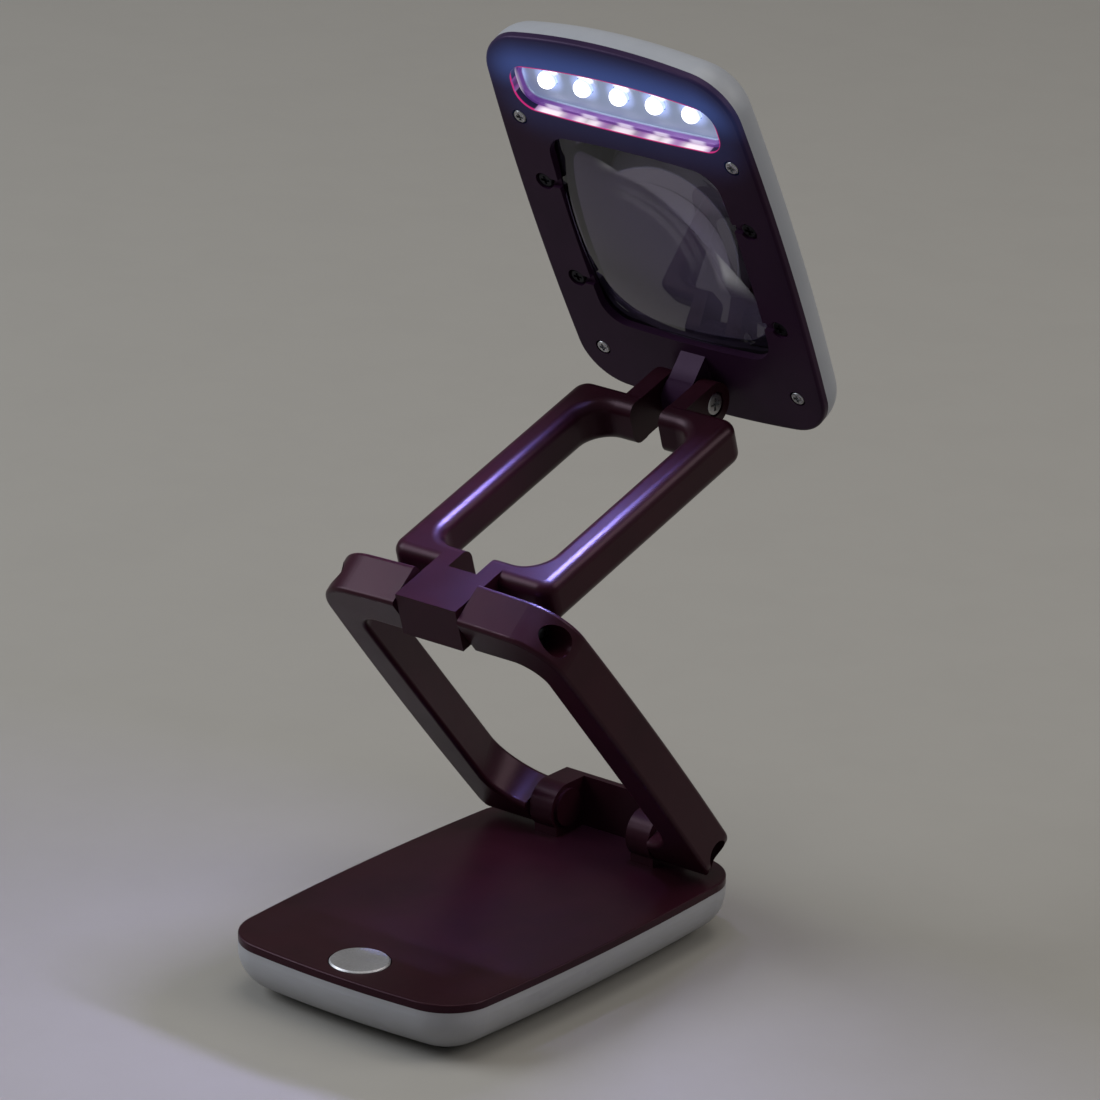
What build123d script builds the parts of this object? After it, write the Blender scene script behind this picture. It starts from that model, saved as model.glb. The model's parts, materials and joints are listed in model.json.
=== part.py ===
from build123d import *
from dataclasses import dataclass
from math import cos, hypot, radians, sin
import os

os.makedirs("parts", exist_ok=True)

# Folding battery lamp with a magnifying lens. All sizes are in millimetres and degrees.
# X runs along the hinges, -Y is the front with the button, and the feet stand on Z = 0.
# The origin is on the floor under the middle of the lamp as it stands open, behind the base's middle.

# Clearances
hinge_gap = 0.1
bore_clearance = 0.05
slip_gap = 0.3
cover_fit = 0.2

# Base plate and tub
origin_setback = 19.5
base_length = 125.0
base_width = 82.0
base_side_bow = 2.3
base_front_bow = 2.6
base_rear_bow = 2.8
base_front_radius = 14.0
base_rear_radius = 13.8
foot_height = 1.3
foot_radius = 4.0
foot_seat = 0.6
foot_edge = 0.4
foot_side_gap = 16.0
foot_end_gap = 15.5
tub_depth = 13.0
tub_curve = 11.0
wall = 1.8
cover_thickness = 2.2
cover_edge = 0.5
lip_depth = 1.6
lip_thickness = 1.2
seat_overlap = 0.5

# Folding geometry seen from the side
base_hinge_rear_gap = 12.3
neck_hinge_near_gap = 11.8
base_hinge_rise = 7.5
head_hinge_rise = 7.2
arm_length = 104.6
arm_thickness = 12.3
lower_arm_lean = 49.2
upper_arm_rise = 17.2
head_lean = 63.8

# Knuckles and rear bar on the base
knuckle_inner = 12.4
knuckle_outer = 19.8
knuckle_radius = 6.6
knuckle_foot_inset = 2.4
knuckle_boss_radius = 5.2
knuckle_boss_height = 0.9
bar_front = 7.3
bar_thickness = 3.2
bar_edge = 1.5

# Lower arm
lower_width = 79.0
lower_side_bow = 1.6
lower_end_bow = 2.4
lower_foot_bow = 1.2
lower_end_radius = 13.0
lower_foot_radius = 8.0
crossbar_reach = 6.9
crossbar_inner = 7.6
rail_width = 10.5
opening_taper = 18.0
opening_top_radius = 7.0
opening_foot_radius = 11.0
lower_edge = 1.2

# Upper arm
upper_half = 26.0
beam_width = 9.0
beam_crown = 3.2
beam_corner = 4.5
block_half = 9.8
stub_start = 10.2
stub_width = 7.8
stub_corner = 7.0
notch_half = 4.6
notch_start = 8.7
ear_outer = 9.8
ear_radius = 5.9

# Hinge screws and washers
pin_radius = 1.5
washer_radius = 4.0
washer_thickness = 0.5
access_radius = 3.9
screw_head_radius = 3.1
screw_head_height = 1.9
screw_cross_width = 0.8
screw_cross_share = 0.6
screw_crown_share = 0.45
elbow_access_depth = 9.5
base_access_depth = 8.5
base_screw_grip = 6.5
nut_flats = 5.5
nut_height = 2.4
neck_seat = 1.4
neck_head_height = 1.2
seat_radius = 3.4

# Button, its switch and board
button_front_gap = 11.5
button_radius = 7.9
button_proud = 0.4
button_dish = 0.5
button_flange = 1.1
button_flange_height = 1.0
button_stem_radius = 2.0
button_travel = 0.8
button_edge = 0.4
switch_corner = 0.5
board_corner = 1.5
switch_size = 6.0
switch_height = 3.5
plunger_radius = 1.7
plunger_height = 0.8
board_width = 32.0
board_depth = 15.0
board_thickness = 1.2
board_lift = 2.2
board_setback = 2.5
post_radius = 2.0

# Batteries and their door
cell_radius = 5.25
cell_length = 43.5
cell_nub_radius = 1.9
cell_nub = 1.0
cell_gap = 0.3
cell_count = 3
bay_rear_gap = 14.0
bay_wall = 1.2
contact_thickness = 0.4
contact_width = 8.0
contact_bump = 1.2
contact_corner = 1.0
spring_radius = 3.0
spring_taper = 40.0
door_rise = 6.0
door_tongue = 2.6
door_tongue_thickness = 0.9
door_grip_pitch = 2.4
door_grip_rear_gap = 18.5
door_grip_width = 1.2
door_grip_depth = 0.5
door_tongue_width = 20.0
door_grip_ribs = 4

# Screws that close the base
case_screw_side_gap = 16.0
case_screw_end_gap = 28.5
case_boss_radius = 3.4
case_screw_seat = 5.0
case_screw_radius = 1.1
case_screw_head = 2.3
case_screw_head_height = 1.5
case_screw_length = 8.0

# Head plate and shell
head_length = 124.0
head_width = 83.5
head_side_bow = 2.3
head_far_bow = 4.8
head_near_bow = 3.1
head_far_radius = 14.6
head_near_radius = 13.7
head_depth = 10.5
head_curve = 9.0
face_thickness = 2.2
face_edge = 0.8
lug_foot = 9.0
lug_radius = 5.6
lug_half = 4.0
rear_edge = 0.8

# Lens
lens_window_side_gap = 13.25
lens_window_far_gap = 34.0
lens_window_near_gap = 24.0
lens_window_radius = 8.0
lens_window_bow = 1.2
lens_lip = 2.0
lens_flange = 2.5
lens_dome_radius = 35.0
lens_front_rise = 3.9
lens_back_rise = 4.6
lens_clear = 0.25
frame_side = 8.1
frame_end = 2.6
frame_corner = 12.0
lens_boss_radius = 2.2
frame_thickness = 1.6
lens_screw_side_gap = 4.6
lens_screw_far_gap = 18.2
lens_screw_near_gap = 14.3
lens_screw_head = 2.2
lens_screw_head_height = 0.9
lens_screw_seat = 1.3
lens_screw_radius = 0.9
lens_pocket_radius = 2.7
lens_channel = 2.6

# Head screws
head_screw_far_side_gap = 7.55
head_screw_far_gap = 30.6
head_screw_near_side_gap = 9.75
head_screw_near_gap = 14.0
head_screw_head = 1.95
head_screw_head_height = 1.1
head_screw_seat = 1.0
head_screw_radius = 1.2
head_screw_length = 7.0
head_screw_pocket = 2.35
head_boss_radius = 3.0

# Lights and reflector
light_count = 5
light_pitch = 11.6
light_row_gap = 7.3
light_radius = 2.5
light_flange = 0.4
light_tip = 0.8
light_base = 7.2
window_side_gap = 8.75
window_length = 16.9
window_far_gap = 10.5
window_bow = 2.6
window_near_bow = 0.8
window_end_bow = 0.4
window_radius = 5.5
reflector_depth = 2.4
reflector_wall = 0.8
reflector_slope = 0.7
reflector_rim = 1.6
light_clear = 0.25
light_dome_share = 0.9
light_board_end_gap = 8.75
light_board_width = 14.0
light_board_thickness = 1.2

# Places worked out from the sizes above
base_end = base_length / 2
head_end = head_length / 2
hinge_setback = base_end - base_hinge_rear_gap
neck_setback = head_end - neck_hinge_near_gap
foot_x = base_width / 2 - foot_side_gap
foot_y = base_end - foot_end_gap
case_screw_x = base_width / 2 - case_screw_side_gap
case_screw_y = base_end - case_screw_end_gap
button_y = button_front_gap - base_end
board_y = button_y + board_setback
opening_half = lower_width / 2 - rail_width
base_access_seat = lower_width / 2 - base_access_depth
elbow_access_seat = lower_width / 2 - elbow_access_depth
tub_bottom = foot_height
seam_z = foot_height + tub_depth
cover_top = seam_z + cover_thickness
half_thick = arm_thickness / 2
base_hinge = Vector(0, hinge_setback - origin_setback, cover_top + base_hinge_rise)
elbow_hinge = base_hinge + Vector(0, -cos(radians(lower_arm_lean)), sin(radians(lower_arm_lean))) * arm_length
neck_hinge = elbow_hinge + Vector(0, cos(radians(upper_arm_rise)), sin(radians(upper_arm_rise))) * arm_length

# The base is drawn on a plane whose origin is under its own middle.
ground = Plane(origin=(0, -origin_setback, 0), x_dir=(1, 0, 0), z_dir=(0, 0, 1))

# Each arm and the head are drawn flat in a plane of their own: x along the hinges, y along the piece.
lower_plane = Plane(
    origin=base_hinge,
    x_dir=(1, 0, 0),
    z_dir=(0, -sin(radians(lower_arm_lean)), -cos(radians(lower_arm_lean))),
)
upper_plane = Plane(
    origin=elbow_hinge,
    x_dir=(1, 0, 0),
    z_dir=(0, -sin(radians(upper_arm_rise)), cos(radians(upper_arm_rise))),
)
neck_plane = Plane(
    origin=neck_hinge,
    x_dir=(1, 0, 0),
    z_dir=(0, sin(radians(head_lean)), cos(radians(head_lean))),
)


def moved(plane, x=0.0, y=0.0, z=0.0):
    """Return the plane with its origin moved in its own directions."""
    return Plane(origin=plane.from_local_coords(Vector(x, y, z)), x_dir=plane.x_dir, z_dir=plane.z_dir)


def level(height):
    """Return the base's plane, lifted to a height above the floor."""
    return moved(ground, z=height)


def across(centre, x):
    """Return the plane that faces +X at x, centred on a hinge line."""
    return Plane(origin=(x, centre.Y, centre.Z), x_dir=(0, 1, 0), z_dir=(1, 0, 0))


def beside(plane, x):
    """Return the plane that faces +X at x, with its own x along the given plane's y."""
    return Plane(origin=plane.from_local_coords(Vector(x, 0, 0)), x_dir=plane.y_dir, z_dir=(1, 0, 0))


head_plane = moved(neck_plane, y=-neck_setback, z=head_hinge_rise)


@dataclass
class Outline:
    """Plan of a plate with four bowed sides and rounded corners; the low end is at -Y."""

    width: float
    length: float
    side_bow: float
    low_bow: float
    high_bow: float
    low_radius: float
    high_radius: float

    def draw(self, inset=0.0, mode=Mode.ADD):
        """Draw the outline in the current sketch, drawn in all round by the inset."""
        x_mid = self.width / 2 - inset
        y_mid = self.length / 2 - inset
        x_end = x_mid - self.side_bow
        y_low = self.low_bow - y_mid
        y_high = y_mid - self.high_bow
        with BuildSketch(Plane.XY, mode=Mode.PRIVATE) as shape:
            with BuildLine():
                ThreePointArc((-x_end, y_low), (0, -y_mid), (x_end, y_low))
                ThreePointArc((x_end, y_low), (x_mid, 0), (x_end, y_high))
                ThreePointArc((x_end, y_high), (0, y_mid), (-x_end, y_high))
                ThreePointArc((-x_end, y_high), (-x_mid, 0), (-x_end, y_low))
            make_face()
            fillet(shape.vertices().group_by(Axis.Y)[0], self.low_radius - inset)
            fillet(shape.vertices().group_by(Axis.Y)[-1], self.high_radius - inset)
        add(shape.sketch_local, mode=mode)


base_bows = (base_side_bow, base_front_bow, base_rear_bow)
base_outline = Outline(base_width, base_length, *base_bows, base_front_radius, base_rear_radius)
head_bows = (head_side_bow, head_far_bow, head_near_bow)
head_outline = Outline(head_width, head_length, *head_bows, head_far_radius, head_near_radius)


def rounded_block(plane, outline, inset, depth, curve, sign):
    """Return a block of the outline, curved under; sign is the side of the plane that it lies on."""
    with BuildPart(mode=Mode.PRIVATE) as block:
        with BuildSketch(plane):
            outline.draw(inset)
        extrude(amount=sign * (depth - inset))
        far = block.faces().filter_by(GeomType.PLANE).sort_by(Axis(plane.origin, plane.z_dir * sign))[-1]
        fillet(far.edges(), curve - inset)
    return block.part


def make_tray(plane, outline, depth, curve, sign):
    """Make an open tray whose sides curve under; sign is the side of the plane that it lies on."""
    add(rounded_block(plane, outline, 0, depth, curve, sign))
    add(rounded_block(plane, outline, wall, depth, curve, sign), mode=Mode.SUBTRACT)


def flipped(plane):
    """Return the plane turned to face the other way, with the same x."""
    return Plane(origin=plane.origin, x_dir=plane.x_dir, z_dir=-plane.z_dir)


def add_disc(plane, radius, height, bore=0.0, mode=Mode.ADD):
    """Add or cut a disc that stands on the plane, with a bore if one is given."""
    with BuildSketch(plane) as disc:
        Circle(radius)
        if bore:
            Circle(bore, mode=Mode.SUBTRACT)
    extrude(disc.sketch, amount=height, mode=mode)


def add_screw(plane, head_radius, head_height, shank_radius, shank_length):
    """Add a domed cross-head screw whose head stands on the plane and whose shank goes below it."""
    cross = head_radius * screw_cross_share
    with BuildPart(mode=Mode.PRIVATE) as screw:
        with BuildSketch(plane):
            Circle(head_radius)
        extrude(amount=head_height)
        crown = screw.edges().filter_by(GeomType.CIRCLE).sort_by(Axis(plane.origin, plane.z_dir))[-1]
        fillet(crown, head_height * screw_crown_share)
        with BuildSketch(moved(plane, z=head_height)):
            Rectangle(cross * 2, screw_cross_width)
            Rectangle(screw_cross_width, cross * 2)
        extrude(amount=-head_height * screw_cross_share, mode=Mode.SUBTRACT)
        with BuildSketch(plane):
            Circle(shank_radius)
        extrude(amount=-shank_length)
    add(screw.part)


def add_washer(plane):
    """Add a flat hinge washer that stands on the plane."""
    add_disc(plane, washer_radius, washer_thickness, pin_radius + bore_clearance)


def add_nut(plane):
    """Add a hexagon nut that stands on the plane."""
    with BuildSketch(plane) as nut:
        RegularPolygon(nut_flats / 2, 6, major_radius=False)
        Circle(pin_radius, mode=Mode.SUBTRACT)
    extrude(nut.sketch, amount=nut_height)


def cut_round(plane, radius, depth):
    """Cut a round hole down from the plane."""
    add_disc(plane, radius, -depth, mode=Mode.SUBTRACT)


def loft_outline(plane, outline, start, end, mode=Mode.ADD):
    """Add or cut a tapered plug; start and end each give an inset and a height above the plane."""
    with BuildSketch(moved(plane, z=start[1])) as first:
        outline.draw(start[0])
    with BuildSketch(moved(plane, z=end[1])) as last:
        outline.draw(end[0])
    loft([first.sketch, last.sketch], mode=mode)


def save(piece, name):
    """Label a finished piece and write its file."""
    piece.label = name
    export_step(piece, f"parts/{name}.step")


# Places shared by several base pieces
floor_z = tub_bottom + wall
bay_half = (cell_count * 2 * cell_radius + (cell_count + 1) * cell_gap) / 2
bay_length = 2 * contact_thickness + contact_bump + cell_length + cell_nub
bay_rear = base_end - bay_rear_gap
bay_front = bay_rear - bay_length
bay_top = seam_z - slip_gap
door_grip_y = base_end - door_grip_rear_gap - door_grip_ribs * door_grip_pitch
cell_pitch = 2 * cell_radius + cell_gap
cell_z = floor_z + cell_gap + cell_radius
board_z = floor_z + board_lift
switch_top = board_z + board_thickness + switch_height
case_boss_top = tub_bottom + case_screw_seat + wall
corners_case = [(sx * case_screw_x, sy * case_screw_y) for sx in (-1, 1) for sy in (-1, 1)]
corners_foot = [(sx * foot_x, sy * foot_y) for sx in (-1, 1) for sy in (-1, 1)]
board_posts = [(-board_width / 2 + post_radius, board_y), (board_width / 2 - post_radius, board_y)]
cell_places = [((i - (cell_count - 1) / 2) * cell_pitch, -1 if i % 2 else 1) for i in range(cell_count)]
bay_middle = (bay_front + bay_rear) / 2

# Places shared by several head pieces
head_axis = Axis(head_plane.origin, head_plane.z_dir)
head_back_plane = moved(head_plane, z=face_thickness)
frame_back = face_thickness + lens_flange + frame_thickness
lens_window_width = head_width - 2 * lens_window_side_gap
lens_window_length = head_length - lens_window_far_gap - lens_window_near_gap
lens_y = head_end - lens_window_near_gap - lens_window_length / 2
lens_window_bows = (lens_window_bow, lens_window_bow, lens_window_bow)
lens_window_corners = (lens_window_radius, lens_window_radius)
lens_window = Outline(lens_window_width, lens_window_length, *lens_window_bows, *lens_window_corners)
lens_screw_x = lens_window_width / 2 + lens_screw_side_gap
lens_screw_far_y = lens_window_far_gap + lens_screw_far_gap - head_end
lens_screw_near_y = head_end - lens_window_near_gap - lens_screw_near_gap
lens_screw_rows = (lens_screw_far_y, lens_screw_near_y)
lens_screw_places = [(sx * lens_screw_x, y) for sx in (-1, 1) for y in lens_screw_rows]
light_window_y = window_far_gap + window_length / 2 - head_end
light_window_bows = (window_end_bow, window_bow, window_near_bow)
light_window_corners = (window_radius, window_radius)
window_width = head_width - 2 * window_side_gap
light_window = Outline(window_width, window_length, *light_window_bows, *light_window_corners)
light_y = window_far_gap + light_row_gap - head_end
light_places = [((i - (light_count - 1) / 2) * light_pitch, light_y) for i in range(light_count)]
light_board_length = head_width - 2 * light_board_end_gap
light_post_x = light_board_length / 2 - board_corner - post_radius
light_posts = [(sx * light_post_x, light_window_y) for sx in (-1, 1)]
head_screw_far = (head_width / 2 - head_screw_far_side_gap, head_screw_far_gap - head_end)
head_screw_near = (head_width / 2 - head_screw_near_side_gap, head_end - head_screw_near_gap)
head_screw_places = [(sx * x, y) for sx in (-1, 1) for x, y in (head_screw_far, head_screw_near)]


def make_base_tub():
    """Make the pale lower tub with its battery bay, screw bosses and foot seats."""
    with BuildPart() as tub:
        make_tray(level(seam_z), base_outline, tub_depth, tub_curve, -1)
        with BuildSketch(level(floor_z - seat_overlap)):
            with Locations((0, (bay_front + bay_rear) / 2)):
                Rectangle(2 * (bay_half + bay_wall), bay_length + 2 * bay_wall)
            with Locations(*corners_case):
                Circle(case_boss_radius)
        extrude(amount=bay_top - floor_z + seat_overlap)
        with BuildSketch(level(floor_z)):
            with Locations((0, (bay_front + bay_rear) / 2)):
                Rectangle(2 * bay_half, bay_length)
        extrude(amount=tub_depth, mode=Mode.SUBTRACT)
        with BuildSketch(level(case_boss_top)):
            with Locations(*corners_case):
                Circle(case_boss_radius + slip_gap)
        extrude(amount=tub_depth, mode=Mode.SUBTRACT)
        with BuildSketch(ground):
            with Locations((0, bay_front + base_length / 2)):
                Rectangle(2 * bay_half, base_length)
        extrude(amount=floor_z + slip_gap, mode=Mode.SUBTRACT)
        with BuildSketch(ground):
            with Locations((0, bay_rear + bay_wall + slip_gap + base_length / 2)):
                Rectangle(2 * bay_half, base_length)
        extrude(amount=tub_bottom + door_rise, mode=Mode.SUBTRACT)
        with BuildSketch(level(floor_z - door_tongue_thickness - cover_fit)):
            with Locations((0, bay_front)):
                Rectangle(door_tongue_width + 2 * slip_gap, 2 * (door_tongue + slip_gap))
        extrude(amount=door_tongue_thickness + cover_fit + slip_gap, mode=Mode.SUBTRACT)
        with BuildSketch(level(floor_z - seat_overlap)):
            with Locations(*board_posts):
                Circle(post_radius)
        extrude(amount=board_lift + seat_overlap)
        with BuildSketch(ground):
            with Locations(*corners_foot):
                Circle(foot_radius + bore_clearance)
        extrude(amount=tub_bottom + foot_seat, mode=Mode.SUBTRACT)
        with BuildSketch(ground):
            with Locations(*corners_case):
                Circle(case_screw_head + slip_gap)
        extrude(amount=tub_bottom + case_screw_seat, mode=Mode.SUBTRACT)
        with BuildSketch(ground):
            with Locations(*corners_case):
                Circle(case_screw_radius + slip_gap)
        extrude(amount=seam_z, mode=Mode.SUBTRACT)
    save(tub.part, "base_tub")


def make_battery_door():
    """Make the door that closes the battery bay and the tail of the tub, with its front tongue."""
    with BuildPart() as door:
        make_tray(level(seam_z), base_outline, tub_depth, tub_curve, -1)
        with BuildSketch(ground):
            with Locations((0, bay_front + slip_gap + base_length / 2)):
                Rectangle(2 * (bay_half - slip_gap), base_length)
        extrude(amount=tub_bottom + door_rise - slip_gap, mode=Mode.INTERSECT)
        with BuildSketch(level(floor_z - door_tongue_thickness)):
            with Locations((0, bay_front)):
                Rectangle(door_tongue_width, 2 * door_tongue)
        extrude(amount=door_tongue_thickness)
        with BuildSketch(level(tub_bottom)):
            with Locations(*[(0, door_grip_y + i * door_grip_pitch) for i in range(door_grip_ribs)]):
                SlotOverall(bay_half, door_grip_width)
        extrude(amount=door_grip_depth, mode=Mode.SUBTRACT)
    save(door.part, "battery_door")


def make_base_cover():
    """Make the dark cover with its lip, screw bosses, button hole, hinge knuckles and rear bar."""
    bar_rear = bar_front + bar_thickness
    knuckle_front = knuckle_radius - knuckle_foot_inset
    with BuildPart() as cover:
        with BuildSketch(level(seam_z)):
            base_outline.draw()
        extrude(amount=cover_thickness)
        fillet(faces().sort_by(Axis.Z)[-1].edges(), cover_edge)
        with BuildSketch(level(seam_z)):
            base_outline.draw(wall + cover_fit)
            base_outline.draw(wall + cover_fit + lip_thickness, mode=Mode.SUBTRACT)
        extrude(amount=-lip_depth)
        with BuildSketch(level(case_boss_top)):
            with Locations(*corners_case):
                Circle(case_boss_radius)
        extrude(amount=seam_z - case_boss_top)
        with BuildSketch(level(case_boss_top)):
            with Locations(*corners_case):
                Circle(case_screw_radius)
        extrude(amount=case_screw_length - wall, mode=Mode.SUBTRACT)
        cut_round(moved(ground, 0, button_y, cover_top), button_radius + slip_gap, cover_thickness)
        cut_round(moved(ground, 0, button_y, seam_z), button_radius + button_flange + slip_gap, lip_depth)
        with BuildSketch(across(base_hinge, -knuckle_outer)):
            Circle(knuckle_radius)
            with Locations(((bar_rear - knuckle_front) / 2, -base_hinge_rise / 2)):
                Rectangle(bar_rear + knuckle_front, base_hinge_rise)
            with Locations((bar_rear / 2, knuckle_radius / 2)):
                Rectangle(bar_rear, knuckle_radius)
        extrude(amount=2 * knuckle_outer)
        rear_top = edges().filter_by(Axis.X).group_by(Axis.Z)[-1].sort_by(Axis.Y)[-1]
        fillet(rear_top, bar_edge)
        with BuildSketch(across(base_hinge, -knuckle_inner)):
            with Locations((bar_front - base_length / 2, 0)):
                Rectangle(base_length, 2 * base_hinge_rise)
        extrude(amount=2 * knuckle_inner, mode=Mode.SUBTRACT)
        for side in (-1, 1):
            face = across(base_hinge, side * (knuckle_inner + seat_overlap))
            add_disc(face, knuckle_boss_radius, -side * (knuckle_boss_height + seat_overlap))
            end = across(base_hinge, side * knuckle_outer)
            add_disc(end, pin_radius, -side * base_screw_grip, mode=Mode.SUBTRACT)
    save(cover.part, "base_cover")


def make_button_parts():
    """Make the round push button, the switch below it and the board that carries the switch."""
    top = cover_top + button_proud
    shoulder = seam_z - slip_gap
    flange_radius = button_radius + button_flange
    flange_z = shoulder - button_flange_height
    stem_z = switch_top + plunger_height + button_travel + hinge_gap
    rim = button_radius - button_edge
    middle = moved(ground, y=button_y)
    with BuildPart() as button:
        with BuildSketch(Plane(origin=middle.origin, x_dir=(1, 0, 0), z_dir=(0, -1, 0))):
            with BuildLine():
                ThreePointArc((0, top - button_dish), (rim / 2, top - button_dish * 0.75), (rim, top))
                Polyline(
                    (rim, top),
                    (button_radius, top - button_edge),
                    (button_radius, shoulder),
                    (flange_radius, shoulder),
                    (flange_radius, flange_z),
                    (button_stem_radius, flange_z),
                    (button_stem_radius, stem_z),
                    (0, stem_z),
                    (0, top - button_dish),
                )
            make_face()
        revolve(axis=Axis(middle.origin, middle.z_dir))
    save(button.part, "power_button")

    with BuildPart() as switch:
        with BuildSketch(moved(ground, 0, button_y, board_z + board_thickness)):
            RectangleRounded(switch_size, switch_size, switch_corner)
        extrude(amount=switch_height)
        with BuildSketch(moved(ground, 0, button_y, switch_top)):
            Circle(plunger_radius)
        extrude(amount=plunger_height)
    save(switch.part, "push_switch")

    with BuildPart() as board:
        with BuildSketch(moved(ground, 0, board_y, board_z)):
            RectangleRounded(board_width, board_depth, board_corner)
        extrude(amount=board_thickness)
    save(board.part, "switch_board")


def end_plane(x, y, way):
    """Return the upright plane at a place on the base, at cell height, that faces along +Y or -Y."""
    return Plane(origin=ground.from_local_coords(Vector(x, y, cell_z)), x_dir=(1, 0, 0), z_dir=(0, way, 0))


def make_batteries():
    """Make the three cells, which lie side by side and face alternate ways, and their contacts."""
    with BuildPart() as cells:
        for x, way in cell_places:
            shoulder = end_plane(x, bay_middle + way * (bay_length / 2 - contact_thickness - cell_nub), way)
            add_disc(shoulder, cell_radius, -cell_length)
            add_disc(shoulder, cell_nub_radius, cell_nub)
    save(cells.part, "battery_cells")

    with BuildPart() as contacts:
        for x, way in cell_places:
            for end in (-1, 1):
                with BuildSketch(end_plane(x, bay_middle + end * bay_length / 2, -end)):
                    RectangleRounded(contact_width, contact_width, contact_corner)
                extrude(amount=contact_thickness)
            spring_y = bay_middle - way * (bay_length / 2 - contact_thickness)
            with BuildSketch(end_plane(x, spring_y, way)):
                Circle(spring_radius)
            extrude(amount=contact_bump, taper=spring_taper)
    save(contacts.part, "battery_contacts")


def make_base_fasteners():
    """Make the feet, the case screws, and the screws and washers of the base hinge."""
    with BuildPart() as feet:
        with BuildSketch(ground):
            with Locations(*corners_foot):
                Circle(foot_radius)
        extrude(amount=foot_height + foot_seat)
        fillet(faces().sort_by(Axis.Z).group_by(Axis.Z)[0].edges(), foot_edge)
    save(feet.part, "rubber_feet")

    with BuildPart() as screws:
        for x, y in corners_case:
            seat = flipped(moved(ground, x, y, tub_bottom + case_screw_seat))
            add_screw(seat, case_screw_head, case_screw_head_height, case_screw_radius, case_screw_length)
    save(screws.part, "case_screws")

    with BuildPart() as pins:
        seat_x = base_access_seat + hinge_gap
        length = seat_x - knuckle_outer + base_screw_grip
        add_screw(across(base_hinge, seat_x), screw_head_radius, screw_head_height, pin_radius, length)
        mirror(about=Plane.YZ)
    save(pins.part, "base_hinge_screws")

    with BuildPart() as washers:
        add_washer(across(base_hinge, knuckle_outer))
        mirror(about=Plane.YZ)
    save(washers.part, "base_hinge_washers")


def make_lower_arm():
    """Make the two halves of the wide lower arm, with the bolt and nut that hold the elbow."""
    span = arm_length + crossbar_reach + half_thick
    middle = (arm_length + crossbar_reach - half_thick) / 2
    bows = (lower_side_bow, lower_foot_bow, lower_end_bow)
    outline = Outline(lower_width, span, *bows, lower_foot_radius, lower_end_radius)
    stub_inner = knuckle_outer + washer_thickness + hinge_gap
    block_gap = block_half + washer_thickness + hinge_gap
    hole_low = half_thick
    hole_high = arm_length - crossbar_inner
    front = moved(lower_plane, y=middle, z=half_thick)
    with BuildPart() as arm:
        with BuildSketch(front):
            outline.draw()
        extrude(amount=-arm_thickness)
        with BuildSketch(moved(lower_plane, y=(hole_low + hole_high) / 2, z=half_thick)):
            with BuildSketch(Plane.XY, mode=Mode.PRIVATE) as hole:
                Rectangle(2 * opening_half, hole_high - hole_low)
                fillet(hole.vertices().group_by(Axis.Y)[0], opening_foot_radius)
                fillet(hole.vertices().group_by(Axis.Y)[-1], opening_top_radius)
            add(hole.sketch_local)
        extrude(amount=-arm_thickness, taper=-opening_taper, mode=Mode.SUBTRACT)
        broad = faces().filter_by(GeomType.PLANE).sort_by(Axis(lower_plane.origin, lower_plane.z_dir))
        fillet(broad[0].edges(), lower_edge)
        broad = faces().filter_by(GeomType.PLANE).sort_by(Axis(lower_plane.origin, lower_plane.z_dir))
        fillet(broad[-1].edges(), lower_edge)
        with BuildSketch(beside(lower_plane, -base_width)):
            with Locations((-arm_thickness, 0)):
                Rectangle(2 * arm_thickness, 2 * arm_thickness)
            Circle(half_thick, mode=Mode.SUBTRACT)
        extrude(amount=2 * base_width, mode=Mode.SUBTRACT)
        with BuildSketch(moved(lower_plane, z=-arm_thickness)):
            with Locations((-base_width / 2, arm_length / 2)):
                Rectangle(base_width, 2 * arm_length)
            with Locations((0, 0)):
                Rectangle(2 * stub_inner, arm_length)
            with Locations((0, arm_length)):
                Rectangle(2 * block_gap, arm_thickness * 2.5)
        extrude(amount=2 * arm_thickness, mode=Mode.SUBTRACT)
        cut_round(across(base_hinge, base_width), access_radius, base_width - base_access_seat)
        cut_round(across(base_hinge, base_width), pin_radius + bore_clearance, base_width)
        cut_round(across(elbow_hinge, base_width), access_radius, base_width - elbow_access_seat)
        cut_round(across(elbow_hinge, base_width), pin_radius, base_width)
    save(arm.part, "lower_arm_right")

    with BuildPart() as other:
        mirror(arm.part, about=Plane.YZ)
    save(other.part, "lower_arm_left")

    with BuildPart() as bolt:
        seat = across(elbow_hinge, elbow_access_seat)
        length = 2 * elbow_access_seat + nut_height
        add_screw(seat, screw_head_radius, screw_head_height, pin_radius, length)
    save(bolt.part, "elbow_bolt")

    with BuildPart() as nut:
        add_nut(across(elbow_hinge, -elbow_access_seat - nut_height))
    save(nut.part, "elbow_nut")


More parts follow.
